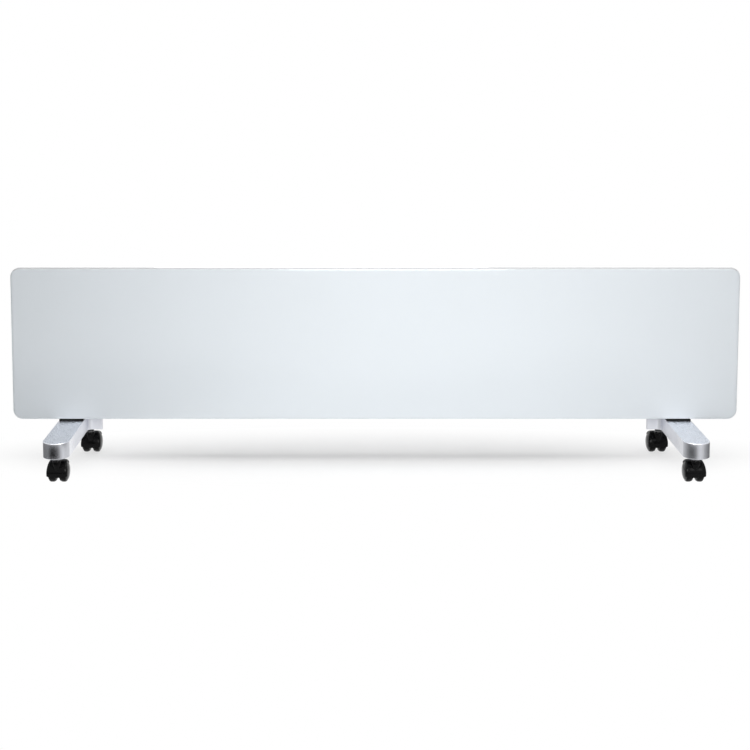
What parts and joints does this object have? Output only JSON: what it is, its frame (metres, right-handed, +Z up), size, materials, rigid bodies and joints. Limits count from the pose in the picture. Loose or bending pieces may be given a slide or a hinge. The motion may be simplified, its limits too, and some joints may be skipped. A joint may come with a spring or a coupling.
{
  "type": "glass panel heater",
  "caption": "Long low electric panel heater: white glass front on a slotted steel casing, standing on two aluminium feet with twin-wheel swivel casters.",
  "frame": {"origin": "on the floor, at the middle of the bounding box", "axes": "+X to the right along the panel, -Y out of the glass front, +Z up"},
  "size_m": [1.14, 0.218, 0.3104],
  "materials": {
    "white_glass": "gloss white tempered glass with a polished edge",
    "bond_tape": "matt black acrylic foam tape",
    "casing_steel": "fine-textured white powder coat",
    "grille_steel": "satin white powder coat",
    "cap_plastic": "fine spark-eroded texture, white",
    "element_aluminium": "bare mill finish",
    "rod_steel": "heat-tinted stainless sheath",
    "bracket_steel": "zinc-plated and dark coated",
    "shield_aluminium": "bright rolled",
    "black_plastic": "matt black",
    "bezel_plastic": "satin dark grey",
    "knob_plastic": "satin black with a white pointer",
    "spindle_steel": "plated",
    "rocker_plastic": "gloss black",
    "lens_plastic": "clear orange",
    "screw_steel": "zinc plated",
    "foot_aluminium": "satin silver, fine blasted",
    "pad_rubber": "matt black",
    "stem_steel": "dark plated",
    "hood_nylon": "gloss black nylon",
    "axle_steel": "bright drawn",
    "wheel_nylon": "semi-gloss black nylon"
  },
  "bodies": {
    "root": {"glass_panel": "white_glass", "glass_bond_frame": "bond_tape", "front_pan": "casing_steel", "rear_casing": "casing_steel", "top_outlet_grille": "grille_steel", "bottom_inlet_grille": "grille_steel", "left_end_cap": "cap_plastic", "right_end_cap": "cap_plastic", "heating_element_fins": "element_aluminium", "heating_element_rod": "rod_steel", "left_element_bracket": "bracket_steel", "right_element_bracket": "bracket_steel", "left_foot_bracket": "bracket_steel", "right_foot_bracket": "bracket_steel", "heat_shield": "shield_aluminium", "tip_over_switch": "black_plastic", "terminal_block": "black_plastic", "thermostat_body": "black_plastic", "thermal_cutout": "black_plastic", "cable_gland": "black_plastic", "rocker_switch_bodies": "black_plastic", "control_bezel": "bezel_plastic", "indicator_lens": "lens_plastic", "foot_bolts": "screw_steel", "left_foot": "foot_aluminium", "right_foot": "foot_aluminium", "left_foot_pad": "pad_rubber", "right_foot_pad": "pad_rubber", "caster_stems": "stem_steel"},
    "knob": {"thermostat_spindle": "spindle_steel", "thermostat_knob": "knob_plastic"},
    "power_rocker": {"power_rocker": "rocker_plastic"},
    "heat_rocker": {"heat_rocker": "rocker_plastic"},
    "front_left_swivel": {"front_left_hood": "hood_nylon", "front_left_axle": "axle_steel"},
    "front_left_inner": {"front_left_inner_wheel": "wheel_nylon"},
    "front_left_outer": {"front_left_outer_wheel": "wheel_nylon"},
    "front_right_swivel": {"front_right_hood": "hood_nylon", "front_right_axle": "axle_steel"},
    "front_right_inner": {"front_right_inner_wheel": "wheel_nylon"},
    "front_right_outer": {"front_right_outer_wheel": "wheel_nylon"},
    "rear_left_swivel": {"rear_left_hood": "hood_nylon", "rear_left_axle": "axle_steel"},
    "rear_left_inner": {"rear_left_inner_wheel": "wheel_nylon"},
    "rear_left_outer": {"rear_left_outer_wheel": "wheel_nylon"},
    "rear_right_swivel": {"rear_right_hood": "hood_nylon", "rear_right_axle": "axle_steel"},
    "rear_right_inner": {"rear_right_inner_wheel": "wheel_nylon"},
    "rear_right_outer": {"rear_right_outer_wheel": "wheel_nylon"}
  },
  "joints": [
    {"name": "front_left_swivel", "type": "hinge", "parent": "root", "child": "front_left_swivel", "pos_m": [-0.479, -0.089, 0.03], "axis": [0, 0, 1], "continuous": true},
    {"name": "front_left_inner_spin", "type": "hinge", "parent": "front_left_swivel", "child": "front_left_inner", "pos_m": [-0.479, -0.076, 0.016], "axis": [1, 0, 0], "continuous": true},
    {"name": "front_left_outer_spin", "type": "hinge", "parent": "front_left_swivel", "child": "front_left_outer", "pos_m": [-0.479, -0.076, 0.016], "axis": [1, 0, 0], "continuous": true},
    {"name": "front_right_swivel", "type": "hinge", "parent": "root", "child": "front_right_swivel", "pos_m": [0.479, -0.089, 0.03], "axis": [0, 0, 1], "continuous": true},
    {"name": "front_right_inner_spin", "type": "hinge", "parent": "front_right_swivel", "child": "front_right_inner", "pos_m": [0.479, -0.076, 0.016], "axis": [1, 0, 0], "continuous": true},
    {"name": "front_right_outer_spin", "type": "hinge", "parent": "front_right_swivel", "child": "front_right_outer", "pos_m": [0.479, -0.076, 0.016], "axis": [1, 0, 0], "continuous": true},
    {"name": "rear_left_swivel", "type": "hinge", "parent": "root", "child": "rear_left_swivel", "pos_m": [-0.4575, 0.07, 0.03], "axis": [0, 0, 1], "continuous": true},
    {"name": "rear_left_inner_spin", "type": "hinge", "parent": "rear_left_swivel", "child": "rear_left_inner", "pos_m": [-0.4575, 0.083, 0.016], "axis": [1, 0, 0], "continuous": true},
    {"name": "rear_left_outer_spin", "type": "hinge", "parent": "rear_left_swivel", "child": "rear_left_outer", "pos_m": [-0.4575, 0.083, 0.016], "axis": [1, 0, 0], "continuous": true},
    {"name": "rear_right_swivel", "type": "hinge", "parent": "root", "child": "rear_right_swivel", "pos_m": [0.4575, 0.07, 0.03], "axis": [0, 0, 1], "continuous": true},
    {"name": "rear_right_inner_spin", "type": "hinge", "parent": "rear_right_swivel", "child": "rear_right_inner", "pos_m": [0.4575, 0.083, 0.016], "axis": [1, 0, 0], "continuous": true},
    {"name": "rear_right_outer_spin", "type": "hinge", "parent": "rear_right_swivel", "child": "rear_right_outer", "pos_m": [0.4575, 0.083, 0.016], "axis": [1, 0, 0], "continuous": true},
    {"name": "thermostat_turn", "type": "hinge", "parent": "root", "child": "knob", "pos_m": [0.55, 0.055, 0.2444], "axis": [1, 0, 0], "range_deg": [-270, 0]},
    {"name": "power_rocker_tilt", "type": "hinge", "parent": "root", "child": "power_rocker", "pos_m": [0.55, 0.055, 0.2054], "axis": [0, 1, 0], "range_deg": [-20, 0]},
    {"name": "heat_rocker_tilt", "type": "hinge", "parent": "root", "child": "heat_rocker", "pos_m": [0.55, 0.055, 0.1764], "axis": [0, 1, 0], "range_deg": [-20, 0]}
  ]
}
